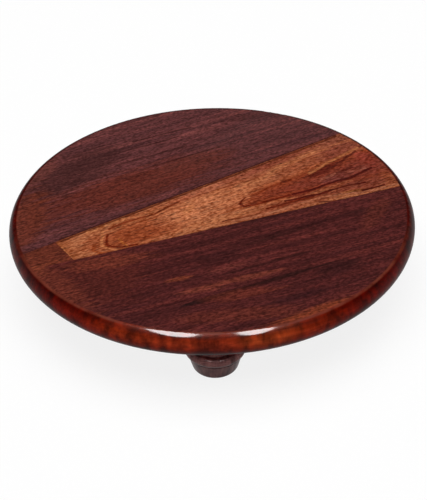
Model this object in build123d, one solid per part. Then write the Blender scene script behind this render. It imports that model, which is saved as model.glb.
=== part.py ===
from build123d import *
import math
import os

# A round wooden rolling board on three turned feet.
# Millimetres and degrees. +Z is up, the origin is on the floor under the board's centre,
# and -Y is the front. Plan angles turn anticlockwise from +X, seen from above.

# ---------------------------------------------------------------- driving dimensions

# Board: a glued-up panel turned to a disc
BOARD_DIAMETER = 250.0
BOARD_THICKNESS = 16.0
EDGE_BULGE = 3.8            # how far the turned edge swells out at half thickness
TOP_EASING = 3.0            # rounding from the working face into the edge
BOTTOM_EASING = 3.0         # rounding from the underside into the edge

# The panel's seams in plan: each one's direction, and its distance from the board's centre
REAR_SEAM_ANGLE = 32.7
REAR_SEAM_OFFSET = 21.7
FRONT_SEAM_ANGLE = 19.0
FRONT_SEAM_OFFSET = 23.2
END_BLOCK_LENGTH = 28.6     # from the stave's blunt end out to the rim
BLUNT_END_SKEW = 8.7        # the blunt end is sawn this far off square

# Dowels across the seams, half their length in each piece
DOWEL_DIAMETER = 6.0
DOWEL_LENGTH = 30.0
DOWEL_CHAMFER = 0.8
DOWEL_FLUTES = 8
FLUTE_RADIUS = 0.4
DOWELS_PER_SEAM = 3
DOWEL_END_MARGIN = 45.0     # a seam's end to its nearest dowel, before the stagger
DOWEL_STAGGER = 26.0        # offset along the stave between its two seams' dowels

# Feet, evenly spaced and named anticlockwise from the front
FEET = ["foot_front", "foot_rear_right", "foot_rear_left"]
FOOT_INSET = 29.0           # the board's rim to a foot's axis
FOOT_HEIGHT = 29.0          # the floor to the board's underside

# Turned outline of a foot: radii, and heights above the floor
SOLE_RADIUS = 12.9          # before its corner is rounded
SOLE_EASING = 3.0
CUP_RADIUS = 15.7
CUP_HEIGHT = 10.3
GROOVE_RADIUS = 15.0
GROOVE_HEIGHT = 10.9
BEAD_START_RADIUS = 16.2
BEAD_START_HEIGHT = 11.5
BEAD_RADIUS = 17.9
BEAD_HEIGHT = 14.6
BEAD_END_RADIUS = 16.4
BEAD_END_HEIGHT = 17.6
NECK_START_RADIUS = 14.2
NECK_RADIUS = 12.8
NECK_HEIGHT = 21.2
COLLAR_RADIUS = 16.0
COLLAR_THICKNESS = 3.6
COLLAR_EASING = 1.2

# Locating step on top of a foot, in a shallow recess under the board
STEP_RADIUS = 10.0
STEP_HEIGHT = 2.5

# Countersunk wood screws, up through the feet
THREAD_DIAMETER = 4.2
THREAD_CORE_DIAMETER = 2.9
THREAD_LENGTH = 20.0        # shank to tip
THREAD_PITCH = 2.2
THREAD_CREST = 0.25         # width of the thread's flat crest
SCREW_SHANK_DIAMETER = 3.6
SCREW_HEAD_DIAMETER = 8.4
SCREW_HEAD_LAND = 0.4       # straight rim of the head
SCREW_SINK = 4.0            # the head's depth above the sole
SCREW_BITE = 11.0           # how far the point reaches into the board
SCREW_POINT_LENGTH = 4.0
RECESS_SPAN = 4.4           # cross recess in the head
RECESS_SLOT = 1.1
RECESS_DEPTH = 1.9
RECESS_TAPER = 12.0

# Fits and clearances, on the radius or along the axis
DOWEL_CLEARANCE = 0.1       # glue film round a dowel
DOWEL_END_ROOM = 1.0        # glue space past each end of a dowel
STEP_CLEARANCE = 0.2        # round a foot's step
STEP_END_ROOM = 0.5         # over a foot's step
PASSAGE_CLEARANCE = 0.2     # a screw's thread slides through its foot
HEAD_CLEARANCE = 0.4        # counterbore round a screw's head
SEAT_CLEARANCE = 0.05       # a head's cone off its countersink
PILOT_CLEARANCE = 0.05      # the wood round a thread's crests
PILOT_END_ROOM = 0.5

# ---------------------------------------------------------------- worked out from them

BOARD_RADIUS = BOARD_DIAMETER / 2
OVERALL_HEIGHT = FOOT_HEIGHT + BOARD_THICKNESS
MID_HEIGHT = FOOT_HEIGHT + BOARD_THICKNESS / 2
FOOT_CIRCLE_RADIUS = BOARD_RADIUS - FOOT_INSET
STAVE_ANGLE = (REAR_SEAM_ANGLE + FRONT_SEAM_ANGLE) / 2
BLUNT_END_ANGLE = STAVE_ANGLE + 90 + BLUNT_END_SKEW
BLUNT_END_OFFSET = BOARD_RADIUS - END_BLOCK_LENGTH
SCREW_LENGTH = FOOT_HEIGHT - SCREW_SINK + SCREW_BITE
CUT_MARGIN = 1.0            # how far a cutter runs past an open face


def turned(face):
    """Solid of revolution about Z from an outline in (radius, height)."""
    return revolve(Plane.XZ * face, Axis.Z)


def corner_at(face, radius, height):
    """The outline's corner nearest to a point."""
    return face.vertices().sort_by_distance((radius, height, 0))[0]


# ---------------------------------------------------------------- board

def board_disc():
    """The whole board as turned: flat faces, a swelling edge and eased corners."""
    corner_radius = BOARD_RADIUS - EDGE_BULGE
    underside = Line((0, FOOT_HEIGHT), (corner_radius, FOOT_HEIGHT))
    edge = ThreePointArc(
        (corner_radius, FOOT_HEIGHT), (BOARD_RADIUS, MID_HEIGHT), (corner_radius, OVERALL_HEIGHT)
    )
    top = Line((corner_radius, OVERALL_HEIGHT), (0, OVERALL_HEIGHT))
    axis = Line((0, OVERALL_HEIGHT), (0, FOOT_HEIGHT))
    face = make_face(underside + edge + top + axis)
    face = fillet(corner_at(face, corner_radius, OVERALL_HEIGHT), TOP_EASING)
    face = fillet(corner_at(face, corner_radius, FOOT_HEIGHT), BOTTOM_EASING)
    return turned(face)


def beyond(angle, offset):
    """Block of everything past a plan line: the line runs at this angle, offset from the centre."""
    reach = BOARD_DIAMETER
    block = Box(2 * reach, reach, 2 * reach, align=(Align.CENTER, Align.MIN, Align.CENTER))
    return Rot(0, 0, angle) * Pos(0, offset, 0) * block


def board_pieces():
    """The disc sawn along its seams: two planks, the stave between them and its end block."""
    disc = board_disc()
    behind_stave = beyond(REAR_SEAM_ANGLE, REAR_SEAM_OFFSET)
    before_stave = beyond(FRONT_SEAM_ANGLE + 180, FRONT_SEAM_OFFSET)
    past_blunt_end = beyond(BLUNT_END_ANGLE, BLUNT_END_OFFSET)
    middle = disc - behind_stave - before_stave
    return {
        "rear_plank": disc & behind_stave,
        "front_plank": disc & before_stave,
        "light_stave": middle - past_blunt_end,
        "end_block": middle & past_blunt_end,
    }


# ---------------------------------------------------------------- dowels across the seams

def line_point(angle, offset, station):
    """Plan point on a line, a distance along it from where it passes nearest to the centre."""
    return Vector(station, offset, 0).rotate(Axis.Z, angle)


def crossing(angle, offset, other_angle, other_offset):
    """Plan point where two lines cross."""
    turn = math.radians(angle - other_angle)
    station = (other_offset - offset * math.cos(turn)) / math.sin(turn)
    return line_point(angle, offset, station)


def dowel_places():
    """Location of every dowel: centred on a seam at half thickness, with its length across it."""
    seams = [
        (REAR_SEAM_ANGLE, REAR_SEAM_OFFSET, -DOWEL_STAGGER / 2),
        (FRONT_SEAM_ANGLE, -FRONT_SEAM_OFFSET, DOWEL_STAGGER / 2),
    ]
    across = Rot(-90, 0, 0)
    places = []
    blunt_corners = []
    for angle, offset, stagger in seams:
        blunt = crossing(angle, offset, BLUNT_END_ANGLE, BLUNT_END_OFFSET)
        rim = line_point(angle, offset, math.sqrt(BOARD_RADIUS**2 - offset**2))
        length = (rim - blunt).length
        spacing = (length - 2 * DOWEL_END_MARGIN) / (DOWELS_PER_SEAM - 1)
        for index in range(DOWELS_PER_SEAM):
            distance = DOWEL_END_MARGIN + stagger + index * spacing
            centre = blunt + (rim - blunt) * (distance / length)
            places.append(Pos(centre.X, centre.Y, MID_HEIGHT) * Rot(0, 0, angle) * across)
        blunt_corners.append(blunt)
    middle = (blunt_corners[0] + blunt_corners[1]) / 2
    places.append(Pos(middle.X, middle.Y, MID_HEIGHT) * Rot(0, 0, BLUNT_END_ANGLE) * across)
    return places


def dowel():
    """Fluted dowel with chamfered ends, centred on its own axis."""
    body = Cylinder(DOWEL_DIAMETER / 2, DOWEL_LENGTH)
    body = chamfer(body.edges().filter_by(GeomType.CIRCLE), DOWEL_CHAMFER)
    for index in range(DOWEL_FLUTES):
        flute = Cylinder(FLUTE_RADIUS, DOWEL_LENGTH + 2 * CUT_MARGIN)
        body -= Rot(0, 0, index * 360 / DOWEL_FLUTES) * Pos(DOWEL_DIAMETER / 2, 0, 0) * flute
    return body


def dowel_hole():
    """Hole for one dowel, through both pieces of a seam."""
    return Cylinder(DOWEL_DIAMETER / 2 + DOWEL_CLEARANCE, DOWEL_LENGTH + 2 * DOWEL_END_ROOM)


# ---------------------------------------------------------------- feet

def foot_places():
    """Each foot's name and the location of its axis on the floor."""
    places = {}
    for index, name in enumerate(FEET):
        places[name] = Rot(0, 0, index * 360 / len(FEET)) * Pos(0, -FOOT_CIRCLE_RADIUS, 0)
    return places


def foot():
    """Turned foot: flared cup, groove, bead, waist and collar, with a locating step on top."""
    collar_foot = FOOT_HEIGHT - COLLAR_THICKNESS
    step_top = FOOT_HEIGHT + STEP_HEIGHT
    cup = Polyline((0, 0), (SOLE_RADIUS, 0), (CUP_RADIUS, CUP_HEIGHT), (GROOVE_RADIUS, GROOVE_HEIGHT),
                   (BEAD_START_RADIUS, BEAD_START_HEIGHT))
    bead = ThreePointArc((BEAD_START_RADIUS, BEAD_START_HEIGHT), (BEAD_RADIUS, BEAD_HEIGHT),
                         (BEAD_END_RADIUS, BEAD_END_HEIGHT))
    quirk = Line((BEAD_END_RADIUS, BEAD_END_HEIGHT), (NECK_START_RADIUS, BEAD_END_HEIGHT))
    waist = ThreePointArc((NECK_START_RADIUS, BEAD_END_HEIGHT), (NECK_RADIUS, NECK_HEIGHT),
                          (NECK_START_RADIUS, collar_foot))
    collar = Polyline((NECK_START_RADIUS, collar_foot), (COLLAR_RADIUS, collar_foot),
                      (COLLAR_RADIUS, FOOT_HEIGHT), (STEP_RADIUS, FOOT_HEIGHT),
                      (STEP_RADIUS, step_top), (0, step_top), (0, 0))
    face = make_face(cup + bead + quirk + waist + collar)
    face = fillet(corner_at(face, SOLE_RADIUS, 0), SOLE_EASING)
    face = fillet(corner_at(face, COLLAR_RADIUS, collar_foot), COLLAR_EASING)
    return turned(face) - screw_passage()


def screw_passage():
    """Counterbore, countersink and clearance hole up through a foot."""
    head = SCREW_HEAD_DIAMETER / 2
    bore = head + HEAD_CLEARANCE
    hole = THREAD_DIAMETER / 2 + PASSAGE_CLEARANCE
    seat = SCREW_SINK + SCREW_HEAD_LAND + SEAT_CLEARANCE
    through = FOOT_HEIGHT + STEP_HEIGHT + CUT_MARGIN
    outline = Polyline(
        (0, -CUT_MARGIN), (bore, -CUT_MARGIN), (bore, seat - HEAD_CLEARANCE),
        (hole, seat + head - hole), (hole, through), (0, through), (0, -CUT_MARGIN),
    )
    return turned(make_face(outline))


def foot_recess():
    """What a foot takes out of the board: a recess for its step and a hole for its screw."""
    from_below = (Align.CENTER, Align.CENTER, Align.MIN)
    recess_depth = CUT_MARGIN + STEP_HEIGHT + STEP_END_ROOM
    recess = Cylinder(STEP_RADIUS + STEP_CLEARANCE, recess_depth, align=from_below)
    pilot_radius = THREAD_DIAMETER / 2 + PILOT_CLEARANCE
    pilot = Cylinder(pilot_radius, SCREW_BITE + PILOT_END_ROOM, align=from_below)
    return Pos(0, 0, FOOT_HEIGHT - CUT_MARGIN) * recess + Pos(0, 0, FOOT_HEIGHT) * pilot


# ---------------------------------------------------------------- screws

def wood_screw():
    """Countersunk wood screw, head down, with its head's flat at height zero."""
    head = SCREW_HEAD_DIAMETER / 2
    shank = SCREW_SHANK_DIAMETER / 2
    core = THREAD_CORE_DIAMETER / 2
    shank_end = SCREW_LENGTH - THREAD_LENGTH
    point_start = SCREW_LENGTH - SCREW_POINT_LENGTH
    outline = Polyline(
        (0, 0), (head, 0), (head, SCREW_HEAD_LAND), (shank, SCREW_HEAD_LAND + head - shank),
        (shank, shank_end), (core, shank_end + shank - core), (core, point_start),
        (0, SCREW_LENGTH), (0, 0),
    )
    thread = screw_thread(shank_end + THREAD_PITCH / 4, point_start)
    return turned(make_face(outline)) + thread - cross_recess()


def screw_thread(start, end):
    """One helical ridge round the core, rooted a little way into it."""
    core = THREAD_CORE_DIAMETER / 2
    depth = THREAD_DIAMETER / 2 - core
    half_crest = THREAD_CREST / 2
    half_root = half_crest + depth / 2
    path = Pos(0, 0, start) * Helix(pitch=THREAD_PITCH, height=end - start, radius=core)
    section = Polyline(
        (-THREAD_CREST, -half_root), (0, -half_root), (depth, -half_crest), (depth, half_crest),
        (0, half_root), (-THREAD_CREST, half_root), (-THREAD_CREST, -half_root),
    )
    across = Plane(origin=path @ 0, x_dir=(1, 0, 0), z_dir=path % 0)
    return sweep(across * make_face(section), path=path, is_frenet=True)


def cross_recess():
    """Tapering cross sunk into the head's flat."""
    outline = Rectangle(RECESS_SPAN, RECESS_SLOT) + Rectangle(RECESS_SLOT, RECESS_SPAN)
    return extrude(outline, RECESS_DEPTH, taper=RECESS_TAPER)


# ---------------------------------------------------------------- assembly

def assemble():
    """Every node of the object, in place."""
    nodes = board_pieces()
    cutters = [place * dowel_hole() for place in dowel_places()]
    cutters += [place * foot_recess() for place in foot_places().values()]
    for name in list(nodes):
        for cutter in cutters:
            nodes[name] = nodes[name] - cutter
    one_foot = foot()
    for name, place in foot_places().items():
        nodes[name] = place * one_foot
    one_screw = Pos(0, 0, SCREW_SINK) * wood_screw()
    nodes["foot_screws"] = Compound([place * one_screw for place in foot_places().values()])
    one_dowel = dowel()
    nodes["seam_dowels"] = Compound([place * one_dowel for place in dowel_places()])
    return nodes


os.makedirs("parts", exist_ok=True)
for node, shape in assemble().items():
    export_step(shape, f"parts/{node}.step")
    print(f"{node}: {len(shape.solids())} solids, {shape.volume:.1f} mm3")
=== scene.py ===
import math
from collections import namedtuple

import bpy
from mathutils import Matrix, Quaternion, Vector


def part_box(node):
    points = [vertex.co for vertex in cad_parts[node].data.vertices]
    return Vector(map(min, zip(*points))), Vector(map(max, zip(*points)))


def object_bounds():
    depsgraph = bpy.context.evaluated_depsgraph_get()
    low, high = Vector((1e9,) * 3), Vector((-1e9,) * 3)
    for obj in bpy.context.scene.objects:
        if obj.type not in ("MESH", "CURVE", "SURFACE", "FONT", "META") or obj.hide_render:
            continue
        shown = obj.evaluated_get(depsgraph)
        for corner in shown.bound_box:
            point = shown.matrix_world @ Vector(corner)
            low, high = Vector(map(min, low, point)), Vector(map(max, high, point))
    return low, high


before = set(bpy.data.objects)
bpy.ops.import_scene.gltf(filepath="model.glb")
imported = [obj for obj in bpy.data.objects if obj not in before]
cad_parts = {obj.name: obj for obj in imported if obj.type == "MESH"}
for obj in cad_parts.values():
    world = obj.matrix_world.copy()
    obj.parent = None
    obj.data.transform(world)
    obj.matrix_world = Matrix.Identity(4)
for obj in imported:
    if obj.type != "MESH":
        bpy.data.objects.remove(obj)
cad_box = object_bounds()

# Looks of a round footed rolling board: two dark planks with a light stave let in between them,
# all turned to one disc, on turned feet. Metres, +Z up out of the working face, front foot towards -Y.
# Wood patterns are laid out in millimetres in the same frame, with Z from the floor up. Plan angles are
# degrees from +X. A range is (low, high), and a size along the grain is (length, width).

MM = 0.001
BOARD_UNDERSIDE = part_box("rear_plank")[0].z
BOARD_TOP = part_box("rear_plank")[1].z
TOP_MM = BOARD_TOP / MM
THICKNESS_MM = (BOARD_TOP - BOARD_UNDERSIDE) / MM
RADIUS_MM = (cad_box[1].x - cad_box[0].x) / 2 / MM
FEET = ("foot_front", "foot_rear_right", "foot_rear_left")


def to_linear(code):
    """Linear RGBA of an sRGB hex colour."""
    parts = [int(code[i:i + 2], 16) / 255 for i in (1, 3, 5)]
    return tuple(p / 12.92 if p <= 0.04045 else ((p + 0.055) / 1.055) ** 2.4 for p in parts) + (1.0,)


def add(tree, kind, links=None, take=0, family="ShaderNode", **settings):
    """Adds a node with its settings and returns one output, or the node where take is None.

    links gives each input's value, or the output that feeds it.
    """
    node = tree.nodes.new(family + kind)
    for name, value in settings.items():
        setattr(node, name, value)
    for name, value in (links or {}).items():
        if isinstance(value, bpy.types.NodeSocket):
            tree.links.new(value, node.inputs[name])
        else:
            node.inputs[name].default_value = value
    return node if take is None else node.outputs[take]


# Numbers of the colour sockets on a Mix node, whose names repeat
FACTOR, UNDER, OVER, MIXED = 0, 6, 7, 2


def span(value, low, high, start=0.0, end=1.0):
    """Links for a Map Range node that goes from start to end as the value goes from low to high."""
    return {"Value": value, "From Min": low, "From Max": high, "To Min": start, "To Max": end}


def set_tones(ramp, stops):
    """Gives a colour ramp its (position, hex colour) stops and returns its colour."""
    points = ramp.color_ramp.elements
    while len(points) < len(stops):
        points.new(0.5)
    for point, (position, colour) in zip(points, stops):
        point.position = position
        point.color = to_linear(colour)
    return ramp.outputs["Color"]


# ---------------------------------------------------------------- figure of the wood

# A streak or cloud of another colour, drawn out along its angle
Mark = namedtuple("Mark", "x y length width angle colour strength")
# A growth line: the plan points that it runs through
Line = namedtuple("Line", "points width colour strength")
# Lines are followed in units of this many millimetres, along and across this plan angle. Each ends in a
# short step to where it is out of sight, both in that unit.
LINE_UNIT = 100
FIGURE_ANGLE = 26
END_STEP = 0.003
OUT_OF_SIGHT = 9
# Fibre noise, about 0.3 to 0.7, is added to the distance from a mark's middle, in half sizes, and to that
# from a line, in millimetres. Each then fades out over a range of the sum.
MARK_RAGGEDNESS = 1.6
MARK_FADE = (1.35, 2.1)
LINE_RAGGEDNESS = 1.5
LINE_SOFTNESS = 0.5
# The grain sways over about these distances along and across itself
SWAY_SIZE = (90, 26)


def in_millimetres(tree):
    """Place in the board's frame, in millimetres."""
    place = add(tree, "TexCoord", take="Object")
    return add(tree, "VectorMath", {0: place, 1: (1 / MM,) * 3}, operation="MULTIPLY")


def along_grain(tree, place, angle, sway):
    """Place turned so that X runs along the grain, with the grain swaying by about this many millimetres."""
    turned = add(tree, "Mapping", {"Vector": place, "Rotation": (0, 0, math.radians(-angle))})
    length, width = SWAY_SIZE
    waves = add(tree, "VectorMath", {0: turned, 1: (1 / length, 1 / width, 1 / width)}, operation="MULTIPLY")
    wave = add(tree, "TexNoise", {"Vector": waves, "Scale": 1.0, "Detail": 2.0}, take="Color")
    centred = add(tree, "VectorMath", {0: wave, 1: (0.5, 0.5, 0.5)}, operation="SUBTRACT")
    shift = add(tree, "VectorMath", {0: centred, 1: (0, 2 * sway, 2 * sway)}, operation="MULTIPLY")
    return add(tree, "VectorMath", {0: turned, 1: shift}, operation="ADD")


def fibre(tree, grain, size, seed, detail):
    """Noise drawn out along the grain. One blotch is about as big as the size, in millimetres.

    The seed moves the noise, so that no two pieces have the same.
    """
    length, width = size
    scaled = add(tree, "VectorMath", {0: grain, 1: (1 / length, 1 / width, 1 / width)}, operation="MULTIPLY")
    moved = add(tree, "VectorMath", {0: scaled, 1: seed}, operation="ADD")
    return add(tree, "TexNoise", {"Vector": moved, "Scale": 1.0, "Detail": detail}, take="Fac")


def mark_cover(tree, place, mark, feather):
    """How much of a mark shows at each place, with its outline feathered into the grain."""
    local = add(tree, "Mapping", {
        "Vector": place,
        "Location": (mark.x, mark.y, TOP_MM),
        "Rotation": (0, 0, math.radians(mark.angle)),
        "Scale": (mark.length / 2, mark.width / 2, THICKNESS_MM),
    }, vector_type="TEXTURE")
    reach = add(tree, "VectorMath", {0: local}, take="Value", operation="LENGTH")
    ragged = add(tree, "Math", {0: feather, 1: MARK_RAGGEDNESS, 2: reach}, operation="MULTIPLY_ADD")
    fade = span(ragged, *MARK_FADE, mark.strength, 0)
    return add(tree, "MapRange", fade, interpolation_type="SMOOTHSTEP")


def line_cover(tree, plan, line, feather):
    """How much of a growth line shows at each place. The line goes down through the whole board."""
    turn = math.radians(FIGURE_ANGLE)
    along = [(x * math.cos(turn) + y * math.sin(turn)) / LINE_UNIT for x, y in line.points]
    across = [(y * math.cos(turn) - x * math.sin(turn)) / LINE_UNIT for x, y in line.points]
    if max(along) - min(along) > max(across) - min(across):
        run, rise, course = "X", "Y", sorted(zip(along, across))
    else:
        run, rise, course = "Y", "X", sorted(zip(across, along))
    bend = add(tree, "FloatCurve", {"Value": plan.outputs[run]}, take=None)
    bend.mapping.use_clip = False
    bend.mapping.extend = "HORIZONTAL"
    points = bend.mapping.curves[0].points
    points[0].location = (course[0][0] - END_STEP, OUT_OF_SIGHT)
    points[1].location = (course[-1][0] + END_STEP, OUT_OF_SIGHT)
    for at, offset in course:
        points.new(at, offset)
    for point in points:
        point.handle_type = "VECTOR"
    bend.mapping.update()
    off = add(tree, "Math", {0: plan.outputs[rise], 1: bend.outputs[0]}, operation="SUBTRACT")
    away = add(tree, "Math", {0: off}, operation="ABSOLUTE")
    rough = {0: feather, 1: LINE_RAGGEDNESS / LINE_UNIT, 2: away}
    ragged = add(tree, "Math", rough, operation="MULTIPLY_ADD")
    edge = (line.width + LINE_RAGGEDNESS) / 2
    fade = span(ragged, (edge - LINE_SOFTNESS) / LINE_UNIT, (edge + LINE_SOFTNESS) / LINE_UNIT,
                line.strength, 0)
    return add(tree, "MapRange", fade, interpolation_type="SMOOTHSTEP")


def lay_figure(tree, place, colour, feather, marks, lines):
    """Lays marks, then growth lines, over the ground colour of the wood."""
    layers = [(mark.colour, mark_cover(tree, place, mark, feather)) for mark in marks]
    turned = add(tree, "Mapping", {
        "Vector": place,
        "Rotation": (0, 0, math.radians(-FIGURE_ANGLE)),
        "Scale": (1 / LINE_UNIT,) * 3,
    })
    plan = add(tree, "SeparateXYZ", {0: turned}, take=None)
    layers += [(line.colour, line_cover(tree, plan, line, feather)) for line in lines]
    for code, cover in layers:
        colour = add(tree, "Mix", {FACTOR: cover, UNDER: colour, OVER: to_linear(code)}, take=MIXED,
                     data_type="RGBA")
    return colour


# ---------------------------------------------------------------- rim

# Colours of the rim by its distance forward of the centre, from this many millimetres to the full radius:
# lighter and more orange towards the front, which is painted light on the front of the side
RIM_FRONT_LIT_FROM = 40
RIM_FRONT_LIT_TONES = [(0.0, "#4c0a02"), (0.5, "#5e0b02"), (0.7, "#701504"), (0.85, "#8c2b0e"), (1.0, "#8c3218")]
# and what they are multiplied by from the underside up to the working face: painted shade, darkest at the
# underside and lightest just above the middle of the side, with a grey-purple painted reflection of the
# floor low on it
RIM_LIGHT_AND_SHADE_BANDS = [(0.0, "#3e2e32"), (0.12, "#685052"), (0.28, "#947678"), (0.42, "#c0a29c"), (0.62, "#e8d8cc"),
             (0.78, "#d0b8a8"), (0.88, "#aa9084"), (1.0, "#bea294")]
# Where the open grain took less of the stain
RIM_MARKS = [
    Mark(30, -121, 34, 20, 14, "#a4461f", 0.75),
    Mark(-46, -116, 30, 18, -22, "#8c3214", 0.4),
    Mark(-1, -125, 16, 18, 0, "#802c18", 0.7),
]
# End grain mottles in patches of about this size, from a part to nearly twice the colour
RIM_PATCH_SIZE = (14, 6)
RIM_PATCH_NOISE = (0.36, 0.66)
RIM_MOTTLE = (0.5, 1.8)


def rim_colour(tree, place, lines):
    """The rim, turned across the fibres: it took up more of the staining, and mottles where the end grain
    opens. Painted light makes its front lighter, and painted shade with a painted reflection of the floor
    runs in bands up its side.
    """
    axes = add(tree, "SeparateXYZ", {0: place}, take=None)
    forward = add(tree, "MapRange", span(axes.outputs["Y"], -RIM_FRONT_LIT_FROM, -RADIUS_MM))
    # Lighter and more orange towards the front: painted light
    front_lit_tone = set_tones(add(tree, "ValToRGB", {"Fac": forward}, take=None), RIM_FRONT_LIT_TONES)
    upright = add(tree, "Mapping", {"Vector": place, "Rotation": (0, math.radians(90), 0)})
    patches = fibre(tree, upright, RIM_PATCH_SIZE, (2, 6, 4), 4)
    front_lit_tone = lay_figure(tree, place, front_lit_tone, patches, RIM_MARKS, [])
    # Painted shade, darkest at the underside, and a painted floor reflection, in bands up the side
    level = add(tree, "MapRange", span(axes.outputs["Z"], TOP_MM - THICKNESS_MM, TOP_MM))
    painted_band = set_tones(add(tree, "ValToRGB", {"Fac": level}, take=None), RIM_LIGHT_AND_SHADE_BANDS)
    height_painted = add(tree, "Mix", {FACTOR: 1.0, UNDER: front_lit_tone, OVER: painted_band}, take=MIXED,
                 data_type="RGBA", blend_type="MULTIPLY")
    mottle = add(tree, "MapRange", span(patches, *RIM_PATCH_NOISE, *RIM_MOTTLE))
    streaked = add(tree, "Math", {0: mottle, 1: lines}, operation="MULTIPLY")
    return add(tree, "Mix", {FACTOR: 1.0, UNDER: height_painted, OVER: streaked}, take=MIXED,
               data_type="RGBA", blend_type="MULTIPLY")


# ---------------------------------------------------------------- finish of the board

# How far fibre lines go above and below the ground colour, and what dark and light flecks multiply it by
Look = namedtuple("Look", "streak dark_fleck light_fleck")
DARK_LOOK = Look(0.26, (0.5, 0.47, 0.46, 1), (1.5, 1.52, 1.52, 1))
LIGHT_LOOK = Look(0.2, (0.52, 0.32, 0.2, 1), (1.4, 1.5, 1.55, 1))

# Fibre lines are some 0.3 mm wide, and pores and flecks 0.1 to 0.3 mm: all are drawn 1 mm wide or a little
# more to show. Each is followed by the range of its noise that it is drawn from.
FIBRE_SIZE = (20, 1.4)
FIBRE_NOISE = (0.3, 0.7)
PORE_SIZE = (7, 1.0)
PORE_NOISE = (0.54, 0.68)
FLECK_SIZE = (2.2, 1.2)
FLECK_NOISE = (0.32, 0.68)
PORE_COLOUR = "#2a100c"
PORE_STRENGTH = 0.5

# The rim's stained colour starts this far in from the full radius at the back and at the front, and the
# change from back to front lies between these places forward of the centre. Reaching further in at the back,
# it paints a line of shade along the back edge
STAIN_AND_SHADE_INSET_BACK = 5.8
STAIN_INSET_FRONT = 4.8
STAIN_FADE = 1.0
FRONT_FROM = 20
FRONT_TO = 70
# A painted sheen lightens the corner in patches towards the front, out to where it turns down into the side
CORNER_SHEEN_COLOUR = "#703426"
CORNER_SHEEN_INSETS = (3.4, 2.6)
CORNER_SHEEN_PATCH_SIZE = (9, 9)
CORNER_SHEEN_NOISE = (0.35, 0.6)
CORNER_SHEEN_COVER = (0.3, 0.95)
# The gloss lies on the upper corner only, this far below the working face and forward of the centre
GLOSS_DEPTHS = (3.2, 1.8)
GLOSS_FORWARD = (104, 113)

FACE_ROUGHNESS = 0.5
RIM_ROUGHNESS = 0.35
GLOSS_ROUGHNESS = 0.1
# Oil and lacquer have an IOR of about 1.5. On a satin face this dark it is brought down, or the pale studio
# would lie over the wood as a grey veil.
SATIN_IOR = 1.1
# Pores and fibres are this deep in metres, and the rim is nearly filled by its finish
RELIEF_DEPTH = 0.12 * MM
FACE_RELIEF = 0.35
RIM_RELIEF = 0.05


def fine_grain(tree, colour, line_shade, specks, pores, look):
    """Fibre lines, flecks and pores over the figure."""
    lined = add(tree, "Mix", {FACTOR: 1.0, UNDER: colour, OVER: line_shade}, take=MIXED,
                data_type="RGBA", blend_type="MULTIPLY")
    speck_share = add(tree, "MapRange", span(specks, *FLECK_NOISE))
    speck_shade = add(tree, "Mix", {FACTOR: speck_share, UNDER: look.dark_fleck, OVER: look.light_fleck},
                      take=MIXED, data_type="RGBA")
    flecked = add(tree, "Mix", {FACTOR: 1.0, UNDER: lined, OVER: speck_shade}, take=MIXED,
                  data_type="RGBA", blend_type="MULTIPLY")
    pore_cover = add(tree, "Math", {0: pores, 1: PORE_STRENGTH}, operation="MULTIPLY")
    return add(tree, "Mix", {FACTOR: pore_cover, UNDER: flecked, OVER: to_linear(PORE_COLOUR)}, take=MIXED,
               data_type="RGBA")


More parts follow.
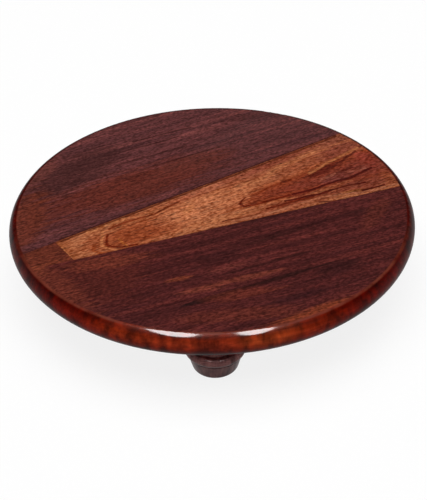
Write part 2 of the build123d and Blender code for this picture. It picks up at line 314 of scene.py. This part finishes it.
def finish_wood(tree, place, grain, colour, seed, look):
    """Fine fibre and pores over the figure, the stained and polished rim with its painted light and shade,
    and the surface's relief.
    """
    shader = tree.nodes["Principled BSDF"]
    lines = fibre(tree, grain, FIBRE_SIZE, seed, 3)
    dashes = fibre(tree, grain, PORE_SIZE, seed, 1)
    pores = add(tree, "MapRange", span(dashes, *PORE_NOISE), interpolation_type="SMOOTHSTEP")
    specks = fibre(tree, grain, FLECK_SIZE, seed, 2)
    line_shade = add(tree, "MapRange", span(lines, *FIBRE_NOISE, 1 - look.streak, 1 + look.streak))
    pored = fine_grain(tree, colour, line_shade, specks, pores, look)

    # The rim: dark round the back, where a painted line of shade runs along the back edge, with a painted
    # sheen on the front corner
    level = add(tree, "VectorMath", {0: place, 1: (1, 1, 0)}, operation="MULTIPLY")
    radius = add(tree, "VectorMath", {0: level}, take="Value", operation="LENGTH")
    axes = add(tree, "SeparateXYZ", {0: place}, take=None)
    front = add(tree, "MapRange", span(axes.outputs["Y"], -FRONT_FROM, -FRONT_TO))
    # Round the back the rim's colour reaches further in: a painted line of shade along the back edge
    insets = span(front, 0, 1, RADIUS_MM - STAIN_AND_SHADE_INSET_BACK, RADIUS_MM - STAIN_INSET_FRONT)
    beyond = add(tree, "Math", {0: radius, 1: add(tree, "MapRange", insets)}, operation="SUBTRACT")
    rim = add(tree, "MapRange", span(beyond, 0, STAIN_FADE), interpolation_type="SMOOTHSTEP")
    # A painted sheen on the corner, in patches, towards the front
    sheen_in, sheen_out = CORNER_SHEEN_INSETS
    corner = add(tree, "MapRange", span(radius, RADIUS_MM - sheen_in, RADIUS_MM - sheen_out, 1, 0))
    front_corner = add(tree, "Math", {0: corner, 1: front}, operation="MULTIPLY")
    sheen_noise = fibre(tree, place, CORNER_SHEEN_PATCH_SIZE, seed, 2)
    patchy = add(tree, "MapRange", span(sheen_noise, *CORNER_SHEEN_NOISE, *CORNER_SHEEN_COVER))
    sheen = add(tree, "Math", {0: front_corner, 1: patchy}, operation="MULTIPLY")
    side = rim_colour(tree, place, line_shade)
    # The rim's colour under the painted sheen
    rubbed = add(tree, "Mix", {FACTOR: sheen, UNDER: side, OVER: to_linear(CORNER_SHEEN_COLOUR)}, take=MIXED,
                 data_type="RGBA")
    # The rim's colour with its painted light and shade, laid over the face
    stained = add(tree, "Mix", {FACTOR: rim, UNDER: pored, OVER: rubbed}, take=MIXED, data_type="RGBA")
    tree.links.new(stained, shader.inputs["Base Color"])

    # Hands have polished the corner over the front foot to a gloss, and the rest is satin
    deep, shallow = GLOSS_DEPTHS
    near, nearer = GLOSS_FORWARD
    upper = add(tree, "MapRange", span(axes.outputs["Z"], TOP_MM - deep, TOP_MM - shallow))
    nearest = add(tree, "MapRange", span(axes.outputs["Y"], -near, -nearer), interpolation_type="SMOOTHSTEP")
    corner_polish = add(tree, "Math", {0: rim, 1: upper}, operation="MULTIPLY")
    polish = add(tree, "Math", {0: corner_polish, 1: nearest}, operation="MULTIPLY")
    tree.links.new(polish, shader.inputs["Coat Weight"])
    roughness = add(tree, "MapRange", span(rim, 0, 1, FACE_ROUGHNESS, RIM_ROUGHNESS))
    tree.links.new(roughness, shader.inputs["Roughness"])
    shader.inputs["Coat Roughness"].default_value = GLOSS_ROUGHNESS
    shader.inputs["IOR"].default_value = SATIN_IOR

    # Fibres stand up and pores are sunk
    relief = add(tree, "Math", {0: pores, 1: -1.0, 2: lines}, operation="MULTIPLY_ADD")
    depth = add(tree, "MapRange", span(rim, 0, 1, FACE_RELIEF, RIM_RELIEF))
    bump = add(tree, "Bump", {"Height": relief, "Strength": depth, "Distance": RELIEF_DEPTH})
    tree.links.new(bump, shader.inputs["Normal"])


def new_material(name):
    material = bpy.data.materials.new(name)
    material.use_nodes = True
    return material


# ---------------------------------------------------------------- dark planks

REAR_TONES = [(0.28, "#3f1f20"), (0.42, "#502a2a"), (0.55, "#5e3130"), (0.72, "#743e3a")]
REAR_MARKS = [
    Mark(-89, 40, 84, 34, 48, "#40201e", 0.8),
    Mark(-110, 42, 44, 14, 68, "#66352e", 0.6),
    Mark(-50, 24, 140, 36, 29, "#5a251a", 0.85),
    Mark(-114, -12, 70, 26, 82, "#602a1b", 0.8),
    Mark(-12, 52, 60, 18, 25, "#582820", 0.6),
    Mark(36, 109, 50, 12, 10, "#3c1c1b", 0.6),
]
REAR_LINES = [
    Line([(-92, -32.7), (-12, 18.5), (85, 80.9)], 1.4, "#30100c", 0.8),
    Line([(-52, 78), (-30, 88), (-12, 95)], 1.7, "#331717", 0.8),
    Line([(-70, 60), (-45, 72), (-20, 84)], 1.6, "#331717", 0.8),
    Line([(-60, 50), (-35, 62), (-15, 72)], 1.6, "#361816", 0.8),
    Line([(-40, 46), (-20, 56), (0, 66)], 1.6, "#3a1814", 0.8),
    Line([(-22, 14), (-8, 24), (4, 31), (18, 40)], 1.8, "#3c1c1c", 0.7),
    Line([(40, 66), (60, 76), (74, 82)], 1.8, "#3a1b1e", 0.8),
    Line([(5, 88), (25, 98), (40, 104)], 1.5, "#3c1e20", 0.7),
    Line([(0, 48), (14, 55), (30, 64)], 1.5, "#3c1c1e", 0.7),
]
FRONT_TONES = [(0.28, "#331312"), (0.42, "#421b1a"), (0.58, "#4e201e"), (0.75, "#602924")]
FRONT_MARKS = [
    Mark(-70, -72, 70, 50, 20, "#4f201a", 0.8),
    Mark(20, -73, 42, 5, 17, "#78382a", 0.65),
    Mark(-6, -83, 28, 6, 17, "#78382a", 0.65),
    Mark(-19, -73, 17, 4, 15, "#783824", 0.7),
    Mark(-3, -92, 38, 4.5, 22, "#180c0c", 0.95),
    Mark(40, -73, 66, 3.5, 23, "#26100e", 0.9),
    Mark(36, -58, 76, 2.5, 22, "#2c1210", 0.8),
    Mark(38, -34, 50, 3, 24, "#301412", 0.8),
    Mark(56, -106, 70, 10, 26, "#78361f", 0.8),
    Mark(-92, -74, 74, 18, -46, "#602a1f", 0.85),
    Mark(-110, -45, 44, 16, -66, "#7c3c28", 0.8),
    Mark(5, -52, 32, 10, 18, "#361616", 0.7),
    Mark(8, -64, 26, 4, 22, "#662e28", 0.8),
    Mark(72, -66, 32, 10, 25, "#301414", 0.8),
    Mark(45, -93, 42, 7, 22, "#301416", 0.6),
    Mark(16, -106, 70, 12, 6, "#5e281e", 0.65),
    Mark(16, -88, 46, 9, 14, "#682c20", 0.6),
    Mark(100, -12, 40, 12, 60, "#5c281f", 0.6),
    Mark(-60, -55, 52, 13, 14, "#6a2f22", 0.8),
]
END_TONES = [(0.3, "#512117"), (0.5, "#5e2a1d"), (0.7, "#6e3322")]
# The grain sways by this many millimetres. Dark and light bands run along it, and what is laid over them is
# feathered by finer fibre.
DARK_SWAY = 2.5
DARK_BAND_SIZE = (150, 4.5)
DARK_FEATHER_SIZE = (26, 1.8)


def dark_rosewood(name, angle, seed, tones, marks, lines):
    """Indian rosewood, planed along the grain, stained and rubbed to a satin: dark streaks, open pores."""
    material = new_material(name)
    tree = material.node_tree
    place = in_millimetres(tree)
    grain = along_grain(tree, place, angle, DARK_SWAY)
    bands = fibre(tree, grain, DARK_BAND_SIZE, seed, 4)
    ground = set_tones(add(tree, "ValToRGB", {"Fac": bands}, take=None), tones)
    feather = fibre(tree, grain, DARK_FEATHER_SIZE, seed, 3)
    colour = lay_figure(tree, place, ground, feather, marks, lines)
    finish_wood(tree, place, grain, colour, seed, DARK_LOOK)
    return material


# ---------------------------------------------------------------- light stave

# The stave's seams: direction, and distance from the board's centre
REAR_SEAM_ANGLE = 32.7
REAR_SEAM_OFFSET = 21.7
FRONT_SEAM_ANGLE = 19.0
FRONT_SEAM_OFFSET = 23.2
BLUNT_END_OFFSET = 96.4

LIGHT_SWAY = 1.2
LIGHT_FEATHER_SIZE = (14, 1.5)
# The growth rings follow the stave's outline. Distances from its rear seam and blunt end count for these
# shares of those from its front seam, its corners are rounded by these millimetres, and the rings drift by
# as much as this over patches of this size. The last ring lies this far in.
REAR_SHARE = 0.62
END_SHARE = 0.14
TIP_ROUNDING = 2.0
END_ROUNDING = 1.6
RING_DRIFT = 2.4
DRIFT_SIZE = (30, 7)
RING_REACH = 30
# Ground colour from the seams in to the last ring
STAVE_TONES = [
    (0.000, "#5e2412"), (0.040, "#8e4c2c"), (0.080, "#aa6846"), (0.300, "#a86440"), (0.420, "#aa6644"),
    (0.500, "#985030"), (0.580, "#82391f"), (0.750, "#7a3626"), (0.900, "#74362a"), (1.000, "#763c2a"),
]
STAVE_MARKS = [
    Mark(-44, -27, 66, 24, 28, "#8c4224", 0.95),
    Mark(-5, 0, 64, 26, 28, "#b66e4a", 0.9),
    Mark(-14, -4, 12, 5, 60, "#b26c44", 0.8),
    Mark(12, 14, 34, 14, 30, "#aa6442", 0.8),
    Mark(2, 21, 84, 8, 33, "#9c563e", 0.75),
    Mark(44, 49, 76, 8, 33, "#803e2c", 0.9),
    Mark(30, 34, 22, 8, 33, "#8c4a36", 0.6),
    Mark(15, 26, 18, 7, 33, "#8f4c34", 0.6),
    Mark(62, 46, 70, 12, 37, "#8e4a30", 0.85),
    Mark(88, 63, 46, 16, 36, "#7c3c2c", 0.9),
    Mark(62, 5, 76, 10, 20, "#74301e", 0.85),
    Mark(98, 20, 50, 12, 18, "#783a2a", 0.85),
    Mark(-66, -36, 22, 18, 30, "#924a2c", 0.75),
    Mark(73, 38, 36, 7, 40, "#4e150d", 0.85),
    Mark(80, 28, 26, 9, 34, "#683430", 0.6),
    Mark(58, 12, 26, 6, 24, "#6a2418", 0.8),
    Mark(101, 49, 22, 11, -60, "#8c3a2c", 0.9),
    Mark(113, 26, 20, 8, -70, "#8a4628", 0.8),
    Mark(84, 74, 40, 9, 34, "#7e4030", 0.8),
    Mark(-45, -11, 60, 11, 29, "#9a5432", 0.6),
    Mark(38, -8, 54, 8, 20, "#883e28", 0.6),
    Mark(88, 11, 18, 5, 18, "#8a5428", 0.7),
    Mark(103, 34, 52, 40, 40, "#6c2e22", 0.45),
]
STAVE_LINES = [
    Line([(-91, -34.2), (-12, 16.8), (85.4, 79.2)], 1.9, "#54200f", 0.9),
    Line([(-63, -23), (-59, -20), (-52, -15), (-43, -11), (-35, -8), (-28, -1), (-19, 6)],
         1.8, "#6a220c", 0.9),
    Line([(-22, 5), (-10, 10.5), (-3, 14), (4, 18), (10, 21), (22, 26), (36, 35)], 1.3, "#783016", 0.6),
    Line([(-54, -21), (-45, -16), (-36, -12), (-28, -5), (-18, 0)], 1.3, "#742c14", 0.7),
    Line([(-50, -10), (-38, -3), (-28, 4), (-16, 11)], 1.2, "#7c361a", 0.6),
    Line([(-62.5, -27), (-63, -33), (-62.5, -38), (-60, -40.5)], 1.9, "#641c08", 0.95),
    Line([(-61, -40), (-55, -41), (-50, -39.5), (-44, -38.5)], 1.9, "#641c08", 0.95),
    Line([(-66, -24), (-65.5, -30), (-66, -36), (-65, -40), (-61, -42.5)], 2.1, "#b26c44", 0.95),
    Line([(-63, -42), (-55, -44), (-48, -42.5), (-42, -40.5)], 2.1, "#b26c44", 0.95),
    Line([(-76, -26), (-66, -20), (-58, -15), (-52, -11)], 2.6, "#b26e46", 0.82),
    Line([(-90, -38), (-86, -46), (-82, -51)], 1.8, "#aa6840", 0.82),
    Line([(-70, -38), (-70, -44), (-62, -48), (-55, -46)], 2.8, "#843818", 0.82),
    Line([(-56, -32), (-53, -37), (-50, -40)], 1.5, "#a8602e", 0.72),
    Line([(-36, -22), (-32, -26), (-30, -30)], 1.5, "#742f16", 0.62),
    Line([(6, -17.5), (13, -15), (20, -13.5), (30, -10)], 1.6, "#6a260f", 0.8),
    Line([(24, 9), (30, 13), (35, 18), (45, 24), (52, 27)], 1.8, "#6c250e", 0.82),
    Line([(22, 9), (19, 5), (17.5, 1), (20, -1.5)], 2.1, "#601b0a", 0.95),
    Line([(19, -2), (28, 0), (36, 4), (43, 7), (50, 10)], 2.1, "#601b0a", 0.95),
    Line([(50, 10), (60, 13.5), (66, 16.5), (72, 20), (79, 23.5), (88, 27), (96, 33), (104, 39)],
         2.1, "#48100a", 1.0),
    Line([(62, 11), (68, 14), (75, 18), (82, 21), (90, 25)], 1.8, "#8e4e34", 0.82),
    Line([(45, 3), (53, 5), (60, 8), (66, 9), (75, 13.5), (85, 18), (98, 22)], 1.9, "#4e130a", 1.0),
    Line([(33, -5), (42, -2), (50, 2), (58, 5), (64, 7)], 1.8, "#62200e", 1.0),
    Line([(94, 12), (100, 14.5), (105, 16.5), (110, 18.5)], 2.0, "#460a05", 0.95),
    Line([(12, -18), (30, -11.5), (42, -7), (50, -2.5), (60, 2), (68, 6), (80, 9), (96, 10.5), (104, 13.5),
          (112, 17.5), (119, 19.5)], 2.2, "#a06044", 1.0),
    Line([(66, 1), (75, 1.5), (85, 3), (95, 6.5), (103, 8)], 2.0, "#4e150d", 0.82),
    Line([(62, 33), (68, 38), (76, 46), (86, 54), (98, 64)], 2.1, "#a0603a", 0.82),
    Line([(69, 25), (73, 28), (77, 30.5), (84, 36)], 1.9, "#8a4c3a", 1.0),
    Line([(80, 33), (86, 37), (92, 40)], 1.9, "#4e170e", 0.82),
    Line([(86, 34), (94, 36), (100, 39)], 1.9, "#8c4c3c", 0.82),
    Line([(84, 46), (90, 53), (96, 60)], 2.0, "#4e170e", 0.82),
]


def seam_distance(tree, place, angle, offset):
    """Millimetres from a plan line through the board, on the side that the angle points to."""
    turn = math.radians(angle)
    across = {0: place, 1: (math.cos(turn), math.sin(turn), 0)}
    reach = add(tree, "VectorMath", across, take="Value", operation="DOT_PRODUCT")
    return add(tree, "Math", {0: reach, 1: offset}, operation="ADD")


def light_rosewood(name, angle, seed):
    """Sapwood-side rosewood, flat sawn: growth rings nested inside the stave's outline as cathedrals."""
    material = new_material(name)
    tree = material.node_tree
    place = in_millimetres(tree)
    grain = along_grain(tree, place, angle, LIGHT_SWAY)
    rear = seam_distance(tree, place, REAR_SEAM_ANGLE - 90, REAR_SEAM_OFFSET)
    front = seam_distance(tree, place, FRONT_SEAM_ANGLE + 90, FRONT_SEAM_OFFSET)
    end = seam_distance(tree, place, angle, BLUNT_END_OFFSET)
    rear_share = add(tree, "Math", {0: rear, 1: REAR_SHARE}, operation="MULTIPLY")
    end_share = add(tree, "Math", {0: end, 1: END_SHARE}, operation="MULTIPLY")
    sides = add(tree, "Math", {0: rear_share, 1: front, 2: TIP_ROUNDING}, operation="SMOOTH_MIN")
    nested = add(tree, "Math", {0: sides, 1: end_share, 2: END_ROUNDING}, operation="SMOOTH_MIN")
    drift = fibre(tree, grain, DRIFT_SIZE, seed, 2)
    ring = add(tree, "Math", {0: drift, 1: RING_DRIFT, 2: nested}, operation="MULTIPLY_ADD")
    depth = add(tree, "MapRange", span(ring, 0, RING_REACH))
    ground = set_tones(add(tree, "ValToRGB", {"Fac": depth}, take=None), STAVE_TONES)
    feather = fibre(tree, grain, LIGHT_FEATHER_SIZE, seed, 3)
    colour = lay_figure(tree, place, ground, feather, STAVE_MARKS, STAVE_LINES)
    finish_wood(tree, place, grain, colour, seed, LIGHT_LOOK)
    return material


# Edges that turn by more than this stay sharp, and the facets of a rounding or a curve turn by less
SHARP_ANGLE = 30
# Facets whose corners are this near, in metres, are joined before they are shaded as one surface
WELD_DISTANCE = 0.01 * MM


def smooth_by_angle():
    """Shading that runs on over a piece's roundings, so that a highlight isn't broken where they meet."""
    tree = bpy.data.node_groups.new("smooth_by_angle", "GeometryNodeTree")
    tree.interface.new_socket("Geometry", in_out="INPUT", socket_type="NodeSocketGeometry")
    tree.interface.new_socket("Geometry", in_out="OUTPUT", socket_type="NodeSocketGeometry")
    piece = add(tree, "Input", family="NodeGroup")
    joined = add(tree, "MergeByDistance", {"Geometry": piece, "Distance": WELD_DISTANCE},
                 family="GeometryNode")
    turn = add(tree, "InputMeshEdgeAngle", family="GeometryNode")
    sharp = add(tree, "Compare", {0: turn, 1: math.radians(SHARP_ANGLE)}, family="FunctionNode",
                operation="GREATER_THAN")
    shaded = add(tree, "SetMeshNormal", {"Mesh": joined, "Remove Custom": True, "Edge Sharpness": sharp},
                 family="GeometryNode", mode="SHARPNESS")
    add(tree, "Output", {0: shaded}, take=None, family="NodeGroup")
    return tree


smooth_surface = smooth_by_angle()


def dress(node, material):
    """Gives a piece of the frame its finish."""
    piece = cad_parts[node]
    piece.data.materials.clear()
    piece.data.materials.append(material)
    piece.modifiers.new("smooth_by_angle", "NODES").node_group = smooth_surface


# Plan angles of the grain
REAR_GRAIN = 27
FRONT_GRAIN = 21
END_GRAIN = 22
STAVE_GRAIN = 26

rear_wood = dark_rosewood("planed_rosewood_rear", REAR_GRAIN, (0, 0, 0), REAR_TONES, REAR_MARKS, REAR_LINES)
front_wood = dark_rosewood("planed_rosewood_front", FRONT_GRAIN, (3, 5, 1), FRONT_TONES, FRONT_MARKS, [])
end_wood = dark_rosewood("planed_rosewood_end", END_GRAIN, (7, 2, 4), END_TONES, [], [])
dress("rear_plank", rear_wood)
dress("front_plank", front_wood)
dress("end_block", end_wood)
dress("light_stave", light_rosewood("flat_sawn_light_rosewood", STAVE_GRAIN, (1, 8, 3)))


# ---------------------------------------------------------------- feet and fasteners

FOOT_TONES = [(0.3, "#442928"), (0.5, "#653f3e"), (0.7, "#80534f")]
FOOT_BAND_SIZE = (40, 2.5)
FOOT_BAND_NOISE = (0.3, 0.7)
# Heights above the floor over which the neck is painted lighter, painted light against the board's shade
# over it, and how many times lighter it gets
NECK_LIGHT_FROM = 12
NECK_LIGHT_TO = 19
NECK_LIGHT_GAIN = 2.1
# Height of the painted line of shade in the groove under the bead, the distances from it over which it
# fades, and its share of colour
GROOVE_SHADE_LINE = 12.4
GROOVE_FADE = (0.8, 1.8)
GROOVE_SHADE = 0.5
# Dark bands of the grain are open and duller, and light ones close and smoother
FOOT_ROUGHNESS = (0.42, 0.3)
# Brought down from lacquer's 1.5 as on the board, with a thin coat for the lustre of a turned surface
FOOT_IOR = 1.15
FOOT_COAT = 0.1
FOOT_COAT_ROUGHNESS = 0.12
# The gouge leaves rings some 0.4 mm apart, drawn 1.2 mm apart to show
TOOL_RING_PITCH = 1.2
TOOL_RING_WAVER = 0.8
FOOT_RELIEF = 0.3
FOOT_RELIEF_DEPTH = 0.05 * MM
# Length of one wave of the Wave node at a scale of 1
WAVE_PERIOD = 2 * math.pi / 20


def turned_rosewood():
    """Rosewood turned on a lathe between centres: dark, grain upright, faint tool rings."""
    material = new_material("turned_rosewood")
    tree = material.node_tree
    shader = tree.nodes["Principled BSDF"]
    place = in_millimetres(tree)
    upright = add(tree, "Mapping", {"Vector": place, "Rotation": (0, math.radians(90), 0)})
    bands = fibre(tree, upright, FOOT_BAND_SIZE, (4, 1, 6), 3)
    colour = set_tones(add(tree, "ValToRGB", {"Fac": bands}, take=None), FOOT_TONES)

    # Painted light on the neck, against the board's shade over it, and a painted line of shade in the groove
    # under the bead
    height = add(tree, "SeparateXYZ", {0: place}, take="Z")
    neck_light = add(tree, "MapRange", span(height, NECK_LIGHT_FROM, NECK_LIGHT_TO, 1.0, NECK_LIGHT_GAIN),
                 interpolation_type="SMOOTHSTEP")
    # A painted line of shade in the groove under the bead
    above_groove = add(tree, "Math", {0: height, 1: GROOVE_SHADE_LINE}, operation="SUBTRACT")
    from_groove = add(tree, "Math", {0: above_groove}, operation="ABSOLUTE")
    painted_groove_shade = add(tree, "MapRange", span(from_groove, *GROOVE_FADE, GROOVE_SHADE, 1.0),
                   interpolation_type="SMOOTHSTEP")
    painted_light_and_shade = add(tree, "Math", {0: neck_light, 1: painted_groove_shade}, operation="MULTIPLY")
    shaded = add(tree, "Mix", {FACTOR: 1.0, UNDER: colour, OVER: painted_light_and_shade}, take=MIXED,
                 data_type="RGBA", blend_type="MULTIPLY")
    tree.links.new(shaded, shader.inputs["Base Color"])
    roughness = add(tree, "MapRange", span(bands, *FOOT_BAND_NOISE, *FOOT_ROUGHNESS))
    tree.links.new(roughness, shader.inputs["Roughness"])
    shader.inputs["IOR"].default_value = FOOT_IOR
    shader.inputs["Coat Weight"].default_value = FOOT_COAT
    shader.inputs["Coat Roughness"].default_value = FOOT_COAT_ROUGHNESS

    rings = add(tree, "TexWave", {
        "Vector": place,
        "Scale": WAVE_PERIOD / TOOL_RING_PITCH,
        "Distortion": TOOL_RING_WAVER,
        "Detail": 1.0,
    }, take="Fac", bands_direction="Z")
    relief = add(tree, "Math", {0: rings, 1: bands}, operation="ADD")
    bump = add(tree, "Bump", {"Height": relief, "Strength": FOOT_RELIEF, "Distance": FOOT_RELIEF_DEPTH})
    tree.links.new(bump, shader.inputs["Normal"])
    return material


foot_finish = turned_rosewood()
for foot in FEET:
    dress(foot, foot_finish)


STEEL_TONES = [(0.3, "#8f8d88"), (0.7, "#c2c0bb")]
# Crystals of the zinc, and the range of their noise that the roughness follows
SPECKLE_SIZE = (0.8, 0.8)
SPECKLE_NOISE = (0.3, 0.7)
STEEL_ROUGHNESS = (0.28, 0.45)
STEEL_RELIEF = 0.2
STEEL_RELIEF_DEPTH = 0.02 * MM


def screw_steel():
    """Steel wood screws, zinc plated: bright once, gone dull and faintly speckled."""
    material = new_material("dull_zinc_steel")
    tree = material.node_tree
    shader = tree.nodes["Principled BSDF"]
    place = in_millimetres(tree)
    speckle = fibre(tree, place, SPECKLE_SIZE, (0, 0, 0), 3)
    colour = set_tones(add(tree, "ValToRGB", {"Fac": speckle}, take=None), STEEL_TONES)
    tree.links.new(colour, shader.inputs["Base Color"])
    roughness = add(tree, "MapRange", span(speckle, *SPECKLE_NOISE, *STEEL_ROUGHNESS))
    tree.links.new(roughness, shader.inputs["Roughness"])
    bump = add(tree, "Bump", {"Height": speckle, "Strength": STEEL_RELIEF, "Distance": STEEL_RELIEF_DEPTH})
    tree.links.new(bump, shader.inputs["Normal"])
    shader.inputs["Metallic"].default_value = 1.0
    return material


BEECH_TONES = [(0.35, "#b98f62"), (0.6, "#d8b58a")]
# The dowels lie square to the stave. Beech's flecks are short, dark and open.
DOWEL_GRAIN = STAVE_GRAIN + 90
BEECH_SWAY = 0.3
BEECH_FLECK_SIZE = (3, 0.5)
BEECH_FLECK_NOISE = (0.35, 0.6)
BEECH_ROUGHNESS = (0.78, 0.64)
BEECH_RELIEF = 0.3
BEECH_RELIEF_DEPTH = 0.1 * MM


def dowel_beech():
    """Fluted beech dowels, dry from the packet: pale, even and matt, with short dark flecks."""
    material = new_material("dry_beech")
    tree = material.node_tree
    shader = tree.nodes["Principled BSDF"]
    place = in_millimetres(tree)
    grain = along_grain(tree, place, DOWEL_GRAIN, BEECH_SWAY)
    flecks = fibre(tree, grain, BEECH_FLECK_SIZE, (5, 5, 5), 2)
    colour = set_tones(add(tree, "ValToRGB", {"Fac": flecks}, take=None), BEECH_TONES)
    tree.links.new(colour, shader.inputs["Base Color"])
    roughness = add(tree, "MapRange", span(flecks, *BEECH_FLECK_NOISE, *BEECH_ROUGHNESS))
    tree.links.new(roughness, shader.inputs["Roughness"])
    bump = add(tree, "Bump", {"Height": flecks, "Strength": BEECH_RELIEF, "Distance": BEECH_RELIEF_DEPTH})
    tree.links.new(bump, shader.inputs["Normal"])
    return material


dress("foot_screws", screw_steel())
dress("seam_dowels", dowel_beech())


# ---------------------------------------------------------------- studio

FLOOR_REACH = 12.0
WALL_RADIUS = 6.0
WALL_HEIGHT = 1.6
WALL_SIDES = 96
PAPER_TONES = [(0.3, "#f6f6f6"), (0.7, "#fafafa")]
PAPER_GRAIN_SIZE = (3, 3)
PAPER_ROUGHNESS = 0.9
PAPER_SHINE = 0.0
# How much of the paper's own glow the lens sees, and mirrors and glass with it. The rest is lit, and
# keeps the board's shadow.
GLOW_SHARE = 0.85


def white_paper():
    """Matt white studio paper, uncoated: a little grainy, with no shine at all."""
    material = new_material("white_paper")
    tree = material.node_tree
    shader = tree.nodes["Principled BSDF"]
    place = in_millimetres(tree)
    grain = fibre(tree, place, PAPER_GRAIN_SIZE, (0, 0, 0), 2)
    colour = set_tones(add(tree, "ValToRGB", {"Fac": grain}, take=None), PAPER_TONES)
    tree.links.new(colour, shader.inputs["Base Color"])
    shader.inputs["Roughness"].default_value = PAPER_ROUGHNESS
    shader.inputs["Specular IOR Level"].default_value = PAPER_SHINE
    path = add(tree, "LightPath", take=None)
    seen = path.outputs["Is Camera Ray"]
    for ray in ("Is Glossy Ray", "Is Transmission Ray"):
        seen = add(tree, "Math", {0: seen, 1: path.outputs[ray]}, operation="MAXIMUM")
    share = add(tree, "Math", {0: seen, 1: GLOW_SHARE}, operation="MULTIPLY")
    glow = add(tree, "Emission", {"Color": (1, 1, 1, 1), "Strength": 1.0})
    paper = add(tree, "MixShader", {0: share, 1: shader.outputs[0], 2: glow})
    # From below, the floor is left out of the lens's way so that the feet and underside can be seen
    behind = add(tree, "Math", {
        0: add(tree, "NewGeometry", take="Backfacing"),
        1: path.outputs["Is Camera Ray"],
    }, operation="MULTIPLY")
    shown = add(tree, "MixShader", {0: behind, 1: paper, 2: add(tree, "BsdfTransparent")})
    tree.links.new(shown, tree.nodes["Material Output"].inputs["Surface"])
    return material


def stage_mesh(name, points, faces, material):
    """A piece of the studio, kept out of the part."""
    mesh = bpy.data.meshes.new(name)
    mesh.from_pydata(points, [], faces)
    mesh.materials.append(material)
    obj = bpy.data.objects.new(name, mesh)
    bpy.context.scene.collection.objects.link(obj)


paper = white_paper()
floor_corners = [(x * FLOOR_REACH, y * FLOOR_REACH, 0) for x, y in ((-1, -1), (1, -1), (1, 1), (-1, 1))]
stage_mesh("floor", floor_corners, [(0, 1, 2, 3)], paper)

# A low wall of the same paper all round, facing in, for views from low down
wall_points = []
wall_faces = []
for side in range(WALL_SIDES):
    turn = 2 * math.pi * side / WALL_SIDES
    x, y = WALL_RADIUS * math.cos(turn), WALL_RADIUS * math.sin(turn)
    wall_points += [(x, y, 0), (x, y, WALL_HEIGHT)]
    low, high = 2 * side, 2 * side + 1
    next_low = (low + 2) % (2 * WALL_SIDES)
    wall_faces.append((low, high, next_low + 1, next_low))
stage_mesh("paper_wall", wall_points, wall_faces, paper)


def softbox(name, shape, centre, width, depth, radiance):
    """A lamp facing straight down. Its power is that of a rectangle of its size with this radiance."""
    lamp = bpy.data.lights.new(name, "AREA")
    lamp.shape = shape
    lamp.size = width
    lamp.size_y = depth
    lamp.energy = radiance * width * depth * math.pi
    obj = bpy.data.objects.new(name, lamp)
    bpy.context.scene.collection.objects.link(obj)
    obj.location = centre
    obj.visible_camera = False
    return obj


# The overhead lamp lights the wood at the level at which a colour shows as written, and keeps out of its
# reflections, where it would lie as a veil
OVERHEAD_RADIANCE = 3.1
OVERHEAD_HEIGHT = 2.5
OVERHEAD_SIZE = 3
overhead = softbox("overhead", "RECTANGLE", (0, 0, OVERHEAD_HEIGHT), OVERHEAD_SIZE, OVERHEAD_SIZE,
                   OVERHEAD_RADIANCE)
overhead.visible_glossy = False

# Two strips over the front corner, splayed towards the front, do no more than put the highlights on the
# polish. Their rounded ends let the highlights taper.
Strip = namedtuple("Strip", "name x width splay")
STRIPS = [Strip("left_strip", -0.405, 0.45, -14), Strip("right_strip", 0.415, 0.34, 15.5)]
STRIP_RADIANCE = 13
STRIP_HEIGHT = BOARD_TOP + 1.0
STRIP_LENGTH = 1.6
STRIP_MIDDLE = -0.96
for strip in STRIPS:
    lamp = softbox(strip.name, "ELLIPSE", (strip.x, STRIP_MIDDLE, STRIP_HEIGHT), strip.width, STRIP_LENGTH,
                   STRIP_RADIANCE)
    lamp.rotation_euler = (0, 0, math.radians(strip.splay))
    lamp.visible_diffuse = False

# A dim grey room round the studio, all that lights the underside besides the floor
ROOM_GREY = (0.06, 0.06, 0.06, 1)
world = bpy.data.worlds.new("studio")
world.use_nodes = True
world.node_tree.nodes["Background"].inputs["Color"].default_value = ROOM_GREY
bpy.context.scene.world = world
bpy.context.scene.view_settings.view_transform = "Standard"


# ---------------------------------------------------------------- camera

# Metres and degrees, and the lens in millimetres
CAMERA_DISTANCE = 0.75
CAMERA_ELEVATION = 34.26
CAMERA_AIM = (0.00053, -0.04623, BOARD_TOP)
CAMERA_ROLL = -1.462
CAMERA_LENS = 87.4

lens = bpy.data.cameras.new("camera")
lens.lens = CAMERA_LENS
camera = bpy.data.objects.new("camera", lens)
bpy.context.scene.collection.objects.link(camera)
tilt = math.radians(CAMERA_ELEVATION)
camera.location = (0, -CAMERA_DISTANCE * math.cos(tilt), BOARD_TOP + CAMERA_DISTANCE * math.sin(tilt))
look = (Vector(CAMERA_AIM) - camera.location).to_track_quat("-Z", "Y")
camera.rotation_mode = "QUATERNION"
camera.rotation_quaternion = look @ Quaternion((0, 0, 1), math.radians(CAMERA_ROLL))
bpy.context.scene.camera = camera
